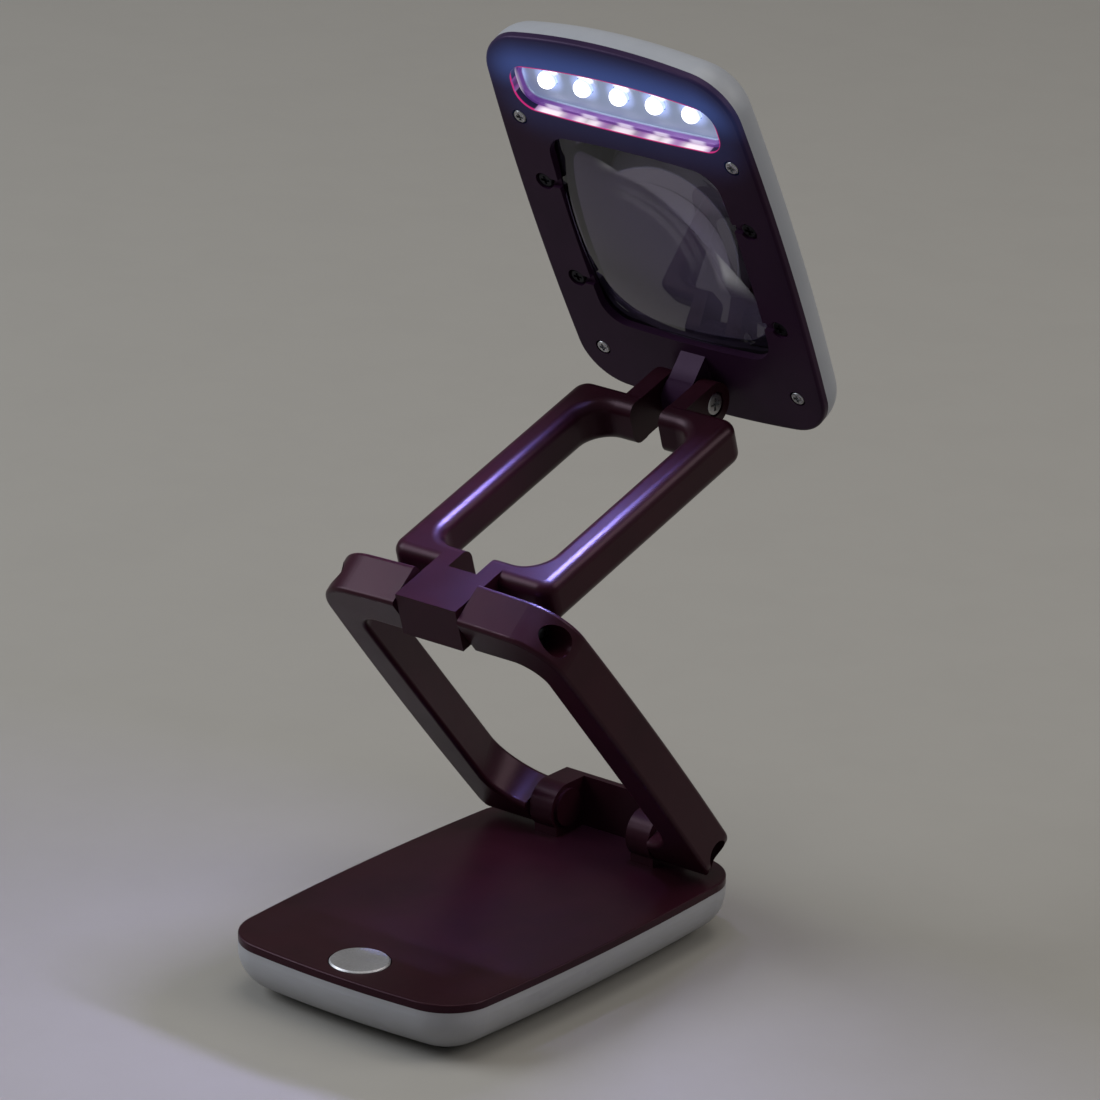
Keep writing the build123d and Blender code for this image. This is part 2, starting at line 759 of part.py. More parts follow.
def make_upper_arm():
    """Make the two halves of the narrow upper arm, with the hinge parts that it carries."""
    loop_length = arm_length - 2 * stub_start
    leg_end = stub_start + stub_width / 2
    low = moved(upper_plane, z=-half_thick)
    with BuildPart() as arm:
        with BuildSketch(moved(low, y=arm_length / 2)):
            with BuildSketch(Plane.XY, mode=Mode.PRIVATE) as hole:
                Rectangle(2 * (upper_half - beam_width), loop_length - 2 * stub_width)
                fillet(hole.vertices(), stub_corner)
            with BuildSketch(Plane.XY, mode=Mode.PRIVATE) as plate:
                Rectangle(2 * upper_half, loop_length)
                fillet(plate.vertices(), beam_corner)
            add(plate.sketch_local)
            add(hole.sketch_local, mode=Mode.SUBTRACT)
        extrude(amount=arm_thickness)
        broad = faces().filter_by(GeomType.PLANE).sort_by(Axis(upper_plane.origin, upper_plane.z_dir))
        fillet(broad[0].edges() + broad[-1].edges(), beam_crown)
        with BuildSketch(low):
            with Locations((0, (leg_end - crossbar_reach) / 2)):
                Rectangle(2 * block_half, leg_end + crossbar_reach)
        extrude(amount=arm_thickness)
        with BuildSketch(beside(upper_plane, -ear_outer)):
            with Locations((arm_length, 0)):
                Circle(ear_radius)
            with Locations((arm_length - leg_end / 2, 0)):
                Rectangle(leg_end, 2 * ear_radius)
        extrude(amount=2 * ear_outer)
        with BuildSketch(low):
            with Locations((0, notch_start + arm_length)):
                Rectangle(2 * notch_half, 2 * arm_length)
            with Locations((-upper_half, 0)):
                Rectangle(2 * upper_half, 4 * arm_length)
        extrude(amount=arm_thickness, mode=Mode.SUBTRACT)
        cut_round(across(elbow_hinge, base_width), pin_radius + bore_clearance, 2 * base_width)
        cut_round(across(neck_hinge, base_width), pin_radius, base_width)
        cut_round(across(neck_hinge, base_width), seat_radius, base_width - ear_outer + neck_seat)
    save(arm.part, "upper_arm_right")

    with BuildPart() as other:
        mirror(arm.part, about=Plane.YZ)
    save(other.part, "upper_arm_left")

    with BuildPart() as washers:
        add_washer(across(elbow_hinge, block_half))
        mirror(about=Plane.YZ)
    save(washers.part, "elbow_washers")

    neck_seat_x = ear_outer - neck_seat
    with BuildPart() as bolt:
        length = 2 * neck_seat_x + nut_height
        add_screw(across(neck_hinge, neck_seat_x), screw_head_radius, neck_head_height, pin_radius, length)
    save(bolt.part, "neck_bolt")

    with BuildPart() as nut:
        add_nut(across(neck_hinge, -neck_seat_x - nut_height))
    save(nut.part, "neck_nut")


def make_head_face():
    """Make the dark face plate with its two windows, screw seats, rear lip and hinge lug."""
    lug = beside(head_plane, -lug_half)
    with BuildPart() as face:
        with BuildSketch(head_plane):
            head_outline.draw()
        extrude(amount=face_thickness)
        fillet(faces().filter_by(GeomType.PLANE).sort_by(head_axis)[0].edges(), face_edge)
        with BuildSketch(head_back_plane):
            head_outline.draw(wall + cover_fit)
            head_outline.draw(wall + cover_fit + lip_thickness, mode=Mode.SUBTRACT)
        extrude(amount=lip_depth)
        with BuildSketch(lug):
            with Locations((neck_setback, -head_hinge_rise)):
                Circle(lug_radius)
            with BuildLine():
                Polyline(
                    (neck_setback - lug_foot, 0),
                    (neck_setback + lug_foot, 0),
                    (neck_setback + lug_radius, -head_hinge_rise),
                    (neck_setback - lug_radius, -head_hinge_rise),
                    close=True,
                )
            make_face()
        extrude(amount=2 * lug_half)
        cut_round(across(neck_hinge, base_width), pin_radius + bore_clearance, 2 * base_width)
        with BuildSketch(moved(head_plane, y=lens_y)):
            lens_window.draw()
        extrude(amount=face_thickness, mode=Mode.SUBTRACT)
        with BuildSketch(moved(head_plane, y=light_window_y)):
            light_window.draw()
        extrude(amount=face_thickness, mode=Mode.SUBTRACT)
        with BuildSketch(head_plane):
            with Locations(*head_screw_places):
                Circle(head_screw_pocket)
        extrude(amount=head_screw_seat, mode=Mode.SUBTRACT)
        with BuildSketch(head_plane):
            with Locations(*head_screw_places):
                Circle(head_screw_radius + bore_clearance)
        extrude(amount=face_thickness, mode=Mode.SUBTRACT)
        with BuildSketch(head_plane):
            for x, y in lens_screw_places:
                way = 1 if x > 0 else -1
                channel = lens_screw_side_gap + 2 * lens_window_bow
                with Locations((x, y)):
                    Circle(lens_pocket_radius)
                with Locations((x - way * channel / 2, y)):
                    Rectangle(channel, lens_channel)
        extrude(amount=lens_screw_seat, mode=Mode.SUBTRACT)
        with BuildSketch(head_plane):
            with Locations(*lens_screw_places):
                Circle(lens_screw_radius + bore_clearance)
        extrude(amount=face_thickness, mode=Mode.SUBTRACT)
    save(face.part, "head_face")


def make_head_back():
    """Make the pale back shell with its rear lens opening, screw bosses and board posts."""
    inner = head_depth - wall
    with BuildPart() as back:
        make_tray(head_back_plane, head_outline, head_depth, head_curve, 1)
        with BuildSketch(moved(head_plane, y=lens_y, z=frame_back + slip_gap)):
            lens_window.draw(-wall)
        extrude(amount=face_thickness + inner + wall / 2 - frame_back - slip_gap)
        with BuildSketch(moved(head_plane, y=lens_y)):
            lens_window.draw()
        extrude(amount=face_thickness + head_depth, mode=Mode.SUBTRACT)
        rear = faces().filter_by(GeomType.PLANE).sort_by(head_axis)[-1]
        fillet(rear.inner_wires()[0].edges(), rear_edge)
        with BuildPart(mode=Mode.PRIVATE) as bosses:
            with BuildSketch(moved(head_back_plane, z=slip_gap)):
                with Locations(*head_screw_places):
                    Circle(head_boss_radius)
            extrude(amount=head_depth)
            limit = rounded_block(head_back_plane, head_outline, wall / 2, head_depth, head_curve, 1)
            add(limit, mode=Mode.INTERSECT)
        add(bosses.part)
        with BuildSketch(head_back_plane):
            with Locations(*head_screw_places):
                Circle(head_screw_radius)
        extrude(amount=head_screw_length, mode=Mode.SUBTRACT)
        with BuildSketch(moved(head_plane, z=light_base + light_board_thickness)):
            with Locations(*light_posts):
                Circle(post_radius)
        extrude(amount=face_thickness + inner + wall / 2 - light_base - light_board_thickness)
    save(back.part, "head_back")


def make_lens():
    """Make the clear lens, domed on both sides, with its square flange, and the frame that holds it."""
    centre = moved(head_plane, y=lens_y)
    side = beside(centre, 0)
    flange_back = face_thickness + lens_flange
    with BuildPart() as domes:
        with BuildSketch(side):
            with BuildLine():
                Line((0, face_thickness - lens_front_rise), (0, flange_back + lens_back_rise))
                add(cap_arc(flange_back, lens_back_rise))
                Line((lens_dome_radius, flange_back), (lens_dome_radius, face_thickness))
                add(cap_arc(face_thickness, -lens_front_rise))
            make_face()
        revolve(axis=Axis(centre.origin, centre.z_dir))
        with BuildSketch(moved(centre, z=-head_depth)):
            lens_window.draw(lens_clear)
        extrude(amount=3 * head_depth, mode=Mode.INTERSECT)
        with BuildSketch(moved(centre, z=face_thickness)):
            lens_window.draw(-lens_lip)
        extrude(amount=lens_flange)
    save(domes.part, "magnifier_lens")

    with BuildPart() as frame:
        with BuildSketch(moved(centre, z=flange_back)):
            frame_size = (lens_window_width + 2 * frame_side, lens_window_length + 2 * frame_end)
            RectangleRounded(*frame_size, frame_corner)
            lens_window.draw(mode=Mode.SUBTRACT)
        extrude(amount=frame_thickness)
        with BuildSketch(head_back_plane):
            with Locations(*lens_screw_places):
                Circle(lens_boss_radius)
        extrude(amount=lens_flange)
        with BuildSketch(head_back_plane):
            with Locations(*lens_screw_places):
                Circle(lens_screw_radius)
        extrude(amount=lens_flange + frame_thickness, mode=Mode.SUBTRACT)
    save(frame.part, "lens_frame")


def cap_arc(height, rise):
    """Return the arc of one dome of the lens, from its tip to its rim, as seen from the side."""
    radius = (lens_dome_radius**2 + rise**2) / (2 * rise)
    middle = lens_dome_radius / 2
    drop = abs(radius) - (radius**2 - middle**2) ** 0.5
    drop = drop if rise > 0 else -drop
    return ThreePointArc(
        (0, height + rise), (middle, height + rise - drop), (lens_dome_radius, height), mode=Mode.PRIVATE
    )


def make_head_screws():
    """Make the screws that close the head, the small black lens screws and the neck washers."""
    out = flipped(head_plane)
    with BuildPart() as closing:
        for x, y in head_screw_places:
            place = moved(out, x, -y, -head_screw_seat)
            add_screw(place, head_screw_head, head_screw_head_height, head_screw_radius, head_screw_length)
    save(closing.part, "head_screws")

    with BuildPart() as small:
        for x, y in lens_screw_places:
            place = moved(out, x, -y, -lens_screw_seat)
            length = face_thickness + lens_flange + frame_thickness - lens_screw_seat
            add_screw(place, lens_screw_head, lens_screw_head_height, lens_screw_radius, length)
    save(small.part, "lens_screws")

    with BuildPart() as washers:
        add_washer(across(neck_hinge, lug_half))
        mirror(about=Plane.YZ)
    save(washers.part, "neck_washers")


def make_lights():
    """Make the bright reflector tray, the board behind it and the row of round-topped lamps."""
    centre = moved(head_plane, y=light_window_y)
    floor = face_thickness + reflector_depth
    with BuildPart() as tray:
        loft_outline(centre, light_window, (0, face_thickness), (reflector_slope, floor))
        with BuildSketch(moved(centre, z=face_thickness)):
            light_window.draw(-reflector_rim)
        extrude(amount=reflector_wall)
        cavity_end = (reflector_slope + reflector_wall, floor - reflector_wall)
        loft_outline(centre, light_window, (reflector_wall, face_thickness), cavity_end, Mode.SUBTRACT)
        with BuildSketch(head_plane):
            with Locations(*light_places):
                Circle(light_radius + light_clear)
        extrude(amount=floor, mode=Mode.SUBTRACT)
    save(tray.part, "led_reflector")

    with BuildPart() as board:
        with BuildSketch(moved(centre, z=light_base)):
            RectangleRounded(light_board_length, light_board_width, board_corner)
        extrude(amount=light_board_thickness)
    save(board.part, "led_board")

    with BuildPart() as lamps:
        with BuildSketch(moved(head_plane, z=light_base)):
            with Locations(*light_places):
                Circle(light_radius)
        extrude(amount=light_tip - light_base)
        tips = edges().filter_by(GeomType.CIRCLE).group_by(head_axis)[0]
        fillet(tips, light_radius * light_dome_share)
        with BuildSketch(moved(head_plane, z=light_base)):
            with Locations(*light_places):
                Circle(light_radius + light_flange)
        extrude(amount=-light_flange)
    save(lamps.part, "led_lamps")


make_base_tub()
make_battery_door()
make_base_cover()
make_button_parts()
make_batteries()
make_base_fasteners()
make_lower_arm()
make_upper_arm()
make_head_face()
make_head_back()
make_lens()
make_head_screws()
make_lights()
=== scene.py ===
"""Folding magnifying lamp: finishes, smooth optical pieces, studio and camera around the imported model."""

import json
import logging
import math
from dataclasses import dataclass, field
from enum import Enum
from typing import Any, Sequence

import bpy
import numpy as np
from mathutils import Matrix, Vector


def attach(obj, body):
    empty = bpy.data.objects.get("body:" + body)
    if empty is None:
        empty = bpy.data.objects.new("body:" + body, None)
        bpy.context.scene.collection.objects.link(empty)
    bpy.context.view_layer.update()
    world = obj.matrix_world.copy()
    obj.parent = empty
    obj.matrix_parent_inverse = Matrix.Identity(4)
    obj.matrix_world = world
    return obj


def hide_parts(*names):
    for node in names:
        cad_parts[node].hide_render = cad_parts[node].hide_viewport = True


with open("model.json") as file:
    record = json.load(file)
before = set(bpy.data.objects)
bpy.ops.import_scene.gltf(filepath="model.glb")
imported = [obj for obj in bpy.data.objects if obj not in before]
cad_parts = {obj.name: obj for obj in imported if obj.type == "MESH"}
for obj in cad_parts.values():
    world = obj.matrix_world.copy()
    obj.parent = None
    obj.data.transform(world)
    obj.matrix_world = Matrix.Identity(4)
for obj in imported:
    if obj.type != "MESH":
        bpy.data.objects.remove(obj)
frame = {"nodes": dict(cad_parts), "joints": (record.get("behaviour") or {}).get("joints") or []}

LOG = logging.getLogger("lamp")
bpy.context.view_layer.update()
MM = 0.001
Colour = tuple[float, float, float]
Span = tuple[float, float]
BLACK: Colour = (0.0, 0.0, 0.0)
WHITE: Colour = (1.0, 1.0, 1.0)


class Operation(Enum):
    """Operations of the Math node."""

    ADD = "ADD"
    SUBTRACT = "SUBTRACT"
    MULTIPLY = "MULTIPLY"
    DIVIDE = "DIVIDE"
    POWER = "POWER"
    SIZE = "ABSOLUTE"
    BELOW = "LESS_THAN"
    LARGEST = "MAXIMUM"
    SMALLEST = "MINIMUM"
    COSINE = "COSINE"
    ANGLE = "ARCTAN2"
    FOLD = "PINGPONG"


# Node maths


class Wire:
    """One value in a material: an output socket that can be used in plain arithmetic."""

    def __init__(self, graph: "Graph", socket: bpy.types.NodeSocket) -> None:
        """Keep the socket and the graph that it belongs to."""
        self.graph = graph
        self.socket = socket

    def _maths(self, operation: Operation, *values: Any) -> "Wire":
        """Add one Math node with the given operation and values."""
        return self.graph.add("ShaderNodeMath", {"operation": operation.value}, dict(enumerate(values)))

    def __add__(self, other: Any) -> "Wire":
        """Sum."""
        return self._maths(Operation.ADD, self, other)

    __radd__ = __add__

    def __mul__(self, other: Any) -> "Wire":
        """Product."""
        return self._maths(Operation.MULTIPLY, self, other)

    __rmul__ = __mul__

    def __sub__(self, other: Any) -> "Wire":
        """Difference."""
        return self._maths(Operation.SUBTRACT, self, other)

    def __rsub__(self, other: Any) -> "Wire":
        """Difference the other way round."""
        return self._maths(Operation.SUBTRACT, other, self)

    def __truediv__(self, other: Any) -> "Wire":
        """Quotient."""
        return self._maths(Operation.DIVIDE, self, other)

    def __rtruediv__(self, other: Any) -> "Wire":
        """Quotient the other way round."""
        return self._maths(Operation.DIVIDE, other, self)

    def __pow__(self, other: Any) -> "Wire":
        """Power."""
        return self._maths(Operation.POWER, self, other)

    def __abs__(self) -> "Wire":
        """Size without its sign."""
        return self._maths(Operation.SIZE, self)

    def __lt__(self, other: Any) -> "Wire":
        """1 where it is less than the other, else 0."""
        return self._maths(Operation.BELOW, self, other)

    def largest(self, other: Any) -> "Wire":
        """The larger of two values."""
        return self._maths(Operation.LARGEST, self, other)

    def smallest(self, other: Any) -> "Wire":
        """The smaller of two values."""
        return self._maths(Operation.SMALLEST, self, other)

    def cosine(self) -> "Wire":
        """Cosine of an angle in radians."""
        return self._maths(Operation.COSINE, self)

    def angle_to(self, other: Any) -> "Wire":
        """Angle in radians of the point whose upright part this is and whose level part is the other."""
        return self._maths(Operation.ANGLE, self, other)

    def folded(self, reach: Any) -> "Wire":
        """A saw that rises and falls between 0 and the reach."""
        return self._maths(Operation.FOLD, self, reach)

    def fall(self, low: float, high: float) -> "Wire":
        """Smooth step from 1 down to 0."""
        return self.step(low, high, 1.0, 0.0)

    def step(self, low: float, high: float, start: float = 0.0, end: float = 1.0) -> "Wire":
        """Smooth step from start to end as this goes from low to high.

        Args:
            low: where the step begins.
            high: where the step ends.
            start: value before the step.
            end: value after the step.

        Returns:
            The stepped value.
        """
        return self.graph.add(
            "ShaderNodeMapRange",
            {"interpolation_type": "SMOOTHSTEP"},
            {"Value": self, "From Min": low, "From Max": high, "To Min": start, "To Max": end},
        )


class Graph:
    """The node tree of one material."""

    def __init__(self, name: str) -> None:
        """Start a material with an output node and nothing else."""
        self.material = bpy.data.materials.new(name)
        self.material.use_nodes = True
        self.tree = self.material.node_tree
        self.tree.nodes.clear()
        self.output = self.tree.nodes.new("ShaderNodeOutputMaterial")

    def add(self, kind: str, settings: dict[str, Any], inputs: dict[Any, Any], out: Any = None) -> Wire:
        """Add any node.

        Args:
            kind: the node's type.
            settings: properties that are set before the inputs.
            inputs: socket name or number to a value or a wire.
            out: name or number of the output that is wanted, or None for the first that is enabled.

        Returns:
            The wire of the output.
        """
        node = self.tree.nodes.new(kind)
        for key, value in settings.items():
            setattr(node, key, value)
        for key, value in inputs.items():
            socket = node.inputs[key] if isinstance(key, int) else self._named(node.inputs, key)
            if isinstance(value, Wire):
                self.tree.links.new(value.socket, socket)
            elif isinstance(value, tuple) and socket.type == "RGBA":
                socket.default_value = (*value, 1.0)
            else:
                socket.default_value = value
        if out is None:
            return Wire(self, next(s for s in node.outputs if s.enabled))
        return Wire(self, node.outputs[out] if isinstance(out, int) else self._named(node.outputs, out))

    @staticmethod
    def _named(sockets: Any, name: str) -> bpy.types.NodeSocket:
        """The enabled socket of that name."""
        return next(s for s in sockets if s.name == name and s.enabled)

    def point(self, origin: Sequence[float] = (0, 0, 0), turn: Sequence[float] = (0, 0, 0)) -> Wire:
        """Object coordinates read in a frame of their own.

        Args:
            origin: the frame's origin in metres.
            turn: the frame's rotation in radians.

        Returns:
            The vector wire.
        """
        place = self.add("ShaderNodeTexCoord", {}, {}, "Object")
        return self.add(
            "ShaderNodeMapping",
            {"vector_type": "TEXTURE"},
            {"Vector": place, "Location": tuple(origin), "Rotation": tuple(turn)},
        )

    def parts(self, vector: Wire) -> tuple[Wire, Wire, Wire]:
        """The three parts of a vector."""
        first = self.add("ShaderNodeSeparateXYZ", {}, {"Vector": vector}, 0)
        node = first.socket.node
        return first, Wire(self, node.outputs[1]), Wire(self, node.outputs[2])

    def join(self, x: Any, y: Any, z: Any) -> Wire:
        """A vector from three parts."""
        return self.add("ShaderNodeCombineXYZ", {}, {0: x, 1: y, 2: z})

    def noise(self, vector: Wire, scale: float, detail: float = 3.0, rough: float = 0.5) -> Wire:
        """Soft random value about 0.5; scale is in patches per metre."""
        sockets = {"Vector": vector, "Scale": scale, "Detail": detail, "Roughness": rough}
        return self.add("ShaderNodeTexNoise", {}, sockets, 0)

    def blend(self, factor: Any, low: Any, high: Any) -> Wire:
        """Lay one colour over another.

        Args:
            factor: share of the second colour.
            low: first colour.
            high: second colour.

        Returns:
            The colour wire.
        """
        settings = {"data_type": "RGBA", "blend_type": "MIX"}
        return self.add("ShaderNodeMix", settings, {"Factor": factor, "A": low, "B": high})

    def bump(self, height: Wire, distance: float, strength: float = 1.0) -> Wire:
        """Normal of a surface that stands proud by height times distance in metres."""
        return self.add("ShaderNodeBump", {}, {"Height": height, "Distance": distance, "Strength": strength})

    def surface(self, **sockets: Any) -> bpy.types.Material:
        """Finish the material with a Principled shader.

        Args:
            **sockets: values or wires, with underscores in place of the spaces in the sockets' names.

        Returns:
            The finished material.
        """
        inputs = {key.replace("_", " "): value for key, value in sockets.items()}
        shader = self.add("ShaderNodeBsdfPrincipled", {}, inputs)
        self.tree.links.new(shader.socket, self.output.inputs["Surface"])
        return self.material


# Places of the head, which several finishes and pieces share


@dataclass(frozen=True)
class HeadPlace:
    """Where the head's face plane lies: y runs towards the hinge, z to the back of the head."""

    lean: float = 63.8
    setback: float = 50.2 * MM
    rise: float = 7.2 * MM

    def hinge(self) -> Vector:
        """Centre of the neck hinge."""
        joint = next(j for j in frame["joints"] if j["name"] == "head_tilt")
        return Vector(joint["pos_m"])

    def turn(self) -> tuple[float, float, float]:
        """Rotation of the face plane in radians."""
        return (-math.radians(self.lean), 0.0, 0.0)

    def matrix(self) -> Matrix:
        """Matrix from face plane coordinates to the lamp's own."""
        spin = Matrix.Rotation(-math.radians(self.lean), 4, "X")
        origin = self.hinge() + spin @ Vector((0, -self.setback, self.rise))
        return Matrix.Translation(origin) @ spin

    def origin(self) -> Vector:
        """Origin of the face plane."""
        return self.matrix().translation

    def parts(self, graph: Graph) -> tuple[Wire, Wire, Wire]:
        """Places across, along and behind the face plane, as wires of a material."""
        return graph.parts(graph.point(self.origin(), self.turn()))


HEAD = HeadPlace()


@dataclass(frozen=True)
class LightWindow:
    """The long window in the face and the row of lamps behind it, in metres on the face plane."""

    width: float = 66.0 * MM
    length: float = 16.9 * MM
    middle: float = -43.05 * MM
    radius: float = 5.5 * MM
    far_bow: float = 2.6 * MM
    near_bow: float = 0.8 * MM
    lamp_row: float = -44.2 * MM
    lamp_pitch: float = 11.6 * MM
    saw_shift: float = 40.0

    def distance(self, u: Wire, v: Wire) -> Wire:
        """Distance outside the window's edge: the rounded box formula with its long sides bowed.

        Args:
            u: place across the head.
            v: place along the head.

        Returns:
            The distance in metres, negative inside.
        """
        local = v - self.middle
        share = (u / (self.width / 2)) ** 2.0
        bow = self.near_bow + (local < 0.0) * (self.far_bow - self.near_bow)
        half = self.length / 2 - bow * share
        over_u = abs(u) - (self.width / 2 - self.radius)
        over_v = abs(local) - half + self.radius
        outside = (over_u.largest(0.0) ** 2.0 + over_v.largest(0.0) ** 2.0) ** 0.5
        return outside + over_u.largest(over_v).smallest(0.0) - self.radius

    def wave(self, u: Wire) -> Wire:
        """A wave along the row that is 1 at each lamp and 0 midway between two."""
        return (u * (2 * math.pi / self.lamp_pitch)).cosine() * 0.5 + 0.5

    def to_lamp(self, u: Wire) -> Wire:
        """Distance along the row to the nearest lamp: a saw of the pitch, folded at each lamp."""
        return (u + self.lamp_pitch * self.saw_shift).folded(self.lamp_pitch / 2)


WINDOW = LightWindow()


# Finishes


@dataclass(frozen=True)
class MouldedPlastic:
    """Satin moulded plastic with a fine spark-etched grain and slight mottling."""

    name: str
    colour: Colour
    shade: Colour
    roughness: float = 0.36
    grain: float = 2600.0
    grain_height: float = 0.012 * MM
    gloss: float = 0.5
    gloss_tint: Colour = WHITE

    def grained(self, graph: Graph) -> dict[str, Any]:
        """Sockets that every plastic shares: mottled colour, uneven gloss and grain.

        Args:
            graph: the material's graph.

        Returns:
            The Principled sockets by name.
        """
        place = graph.point()
        patches = graph.noise(place, 34.0, 4.0, 0.6).step(0.34, 0.68)
        grain = graph.noise(place, self.grain, 2.0, 0.55)
        smear = graph.noise(place, 90.0, 3.0, 0.6)
        return {
            "Base_Color": graph.blend(patches, self.colour, self.shade),
            "Roughness": (smear - 0.5) * 0.14 + grain * 0.05 + (self.roughness - 0.025),
            "Normal": graph.bump(grain, self.grain_height),
            "Specular_IOR_Level": self.gloss,
            "Specular_Tint": self.gloss_tint,
        }

    def make(self) -> bpy.types.Material:
        """Build the material."""
        graph = Graph(self.name)
        return graph.surface(**self.grained(graph))


@dataclass(frozen=True)
class GlowingFace(MouldedPlastic):
    """The face's dark plastic with painted light: a glowing edge line and lit inner wall at the light window
    and a painted hazy glow round it, all given as emission.
    """

    # Painted light: colours given as emission on the plastic, which is no lamp: the glowing edge line, the
    # hazy glow round the window, the lit inner wall and its bright scallops.
    painted_rim_glow: Colour = (0.55, 0.02, 0.17)
    painted_haze: Colour = (0.085, 0.17, 0.56)
    painted_scallop_light: Colour = (1.0, 0.90, 1.0)
    edge_glow: Colour = (0.28, 0.09, 0.38)
    seam: Span = (-0.02 * MM, 0.02 * MM)
    rim_gap: Span = (0.12 * MM, 0.32 * MM)
    rim_depth: Span = (0.3 * MM, 0.6 * MM)
    haze_width: float = 15.0 * MM
    haze_fall: float = 1.6
    haze_share: float = 0.34
    haze_rows: Span = (-9.0 * MM, 4.0 * MM)
    haze_least: float = 0.16
    wall_rows: Span = (2.0 * MM, 6.0 * MM)
    wall_least: float = 0.7
    wall_gap: Span = (-1.0 * MM, -0.6 * MM)
    wall_depth: Span = (2.2 * MM, 2.3 * MM)
    patch_reach: Span = (-0.25, 0.7)
    patch_depth: Span = (1.3 * MM, 2.4 * MM)
    patch_least: float = 0.3
    lip_depth: Span = (0.02 * MM, 0.18 * MM)
    lug_rows: Span = (43.0 * MM, 46.0 * MM)
    lug_depth: Span = (-1.2 * MM, -0.4 * MM)
    lug_roughness: float = 0.45

    def make(self) -> bpy.types.Material:
        """Build the material: plastic with painted light given as emission, a narrow red glowing line at the
        window's edge, a faint hazy glow and a lit inner wall with scallops of light.
        """
        graph = Graph(self.name)
        u, v, w = HEAD.parts(graph)
        gap, local = WINDOW.distance(u, v), v - WINDOW.middle
        # Painted light: every mask below lays glow colours on the face as emission, standing in for the
        # lamps' light.
        wide = gap.fall(0.0, self.haze_width) ** self.haze_fall
        far_side = local.step(*self.haze_rows, 1.0, self.haze_least)
        painted_haze = graph.blend(wide * far_side * self.haze_share, BLACK, self.painted_haze)
        front = graph.blend(gap.fall(*self.rim_gap) * w.fall(*self.rim_depth), painted_haze, self.painted_rim_glow)
        near = local.step(*self.wall_rows)
        raised = w.step(*self.patch_depth, 1.0, self.patch_least)
        bright = WINDOW.wave(u).step(*self.patch_reach) * raised * near
        wall = graph.blend(near * (1.0 - self.wall_least) + self.wall_least, BLACK, self.edge_glow)
        inner = graph.blend(w.step(*self.lip_depth), self.painted_rim_glow, graph.blend(bright, wall, self.painted_scallop_light))
        inside = gap.step(*self.wall_gap) * w.fall(*self.wall_depth)
        glow = graph.blend(gap.step(*self.seam), graph.blend(inside, BLACK, inner), front)
        sockets = self.grained(graph)
        lug = v.step(*self.lug_rows) * w.fall(*self.lug_depth)
        sockets["Roughness"] = sockets["Roughness"] + lug * self.lug_roughness
        return graph.surface(**sockets, Emission_Color=glow, Emission_Strength=1.0)


@dataclass(frozen=True)
class ShellWithPaintedShade(MouldedPlastic):
    """Pale shell plastic with painted shade: its wall round the lens opening is darkened as if in shadow."""

    painted_shade: Colour = (0.012, 0.010, 0.014)
    painted_shade_gap: Span = (0.02 * MM, 0.25 * MM)
    painted_shade_depth: Span = (11.6 * MM, 12.1 * MM)

    def make(self) -> bpy.types.Material:
        """Build the material: the plastic, with painted shade where it faces the lens opening."""
        graph = Graph(self.name)
        u, v, w = HEAD.parts(graph)
        lens = Lens()
        across = abs(u) - lens.width / 2
        along = abs(v - lens.middle) - lens.length / 2
        # Painted shade: darkens the wall that faces the lens opening, as if in shadow.
        painted_shade_mask = across.largest(along).fall(*self.painted_shade_gap) * w.fall(*self.painted_shade_depth)
        sockets = self.grained(graph)
        sockets["Base_Color"] = graph.blend(painted_shade_mask, sockets["Base_Color"], self.painted_shade)
        return graph.surface(**sockets)


@dataclass(frozen=True)
class BrushedMetal:
    """Metal with brushing round its own centre, or plain if it has no centre."""

    name: str
    colour: Colour
    roughness: float = 0.3
    centre: tuple[float, float, float] | None = None
    metallic: float = 1.0

    def make(self) -> bpy.types.Material:
        """Build the material: fine rings or patches in the gloss and the bump."""
        graph = Graph(self.name)
        place = graph.point(self.centre or (0.0, 0.0, 0.0))
        x, y, _ = graph.parts(place)
        if self.centre:
            radius = (x ** 2.0 + y ** 2.0) ** 0.5
            around = graph.join(y.angle_to(x) * 2.2, radius * 90.0, 0.0)
            lines = graph.noise(around, 9.0, 5.0, 0.7)
            cloud = graph.noise(place, 160.0, 3.0, 0.6)
        else:
            lines = graph.noise(place, 5200.0, 2.0, 0.6)
            cloud = graph.noise(place, 420.0, 2.0, 0.5)
        dark = tuple(channel * 0.72 for channel in self.colour)
        return graph.surface(
            Base_Color=graph.blend(lines.step(0.3, 0.72), self.colour, dark),
            Metallic=self.metallic,
            Roughness=(cloud - 0.5) * 0.2 + lines * 0.12 + (self.roughness - 0.06),
            Normal=graph.bump(lines, 0.01 * MM, 0.7),
        )


@dataclass(frozen=True)
class LampGlow:
    """Lit resin of the round-topped lamps: white at the dome, dim blue towards the flange."""

    name: str = "lamp_resin"
    core: Colour = WHITE
    skirt: Colour = (0.10, 0.13, 0.24)
    skirt_depth: Span = (1.7 * MM, 3.5 * MM)
    strength: float = 3.0

    def make(self) -> bpy.types.Material:
        """Build the material."""
        graph = Graph(self.name)
        _, _, depth = HEAD.parts(graph)
        low = depth.step(*self.skirt_depth)
        return graph.surface(
            Base_Color=(0.9, 0.93, 1.0),
            Roughness=0.15,
            Emission_Color=graph.blend(low, self.core, self.skirt),
            Emission_Strength=self.strength,
        )


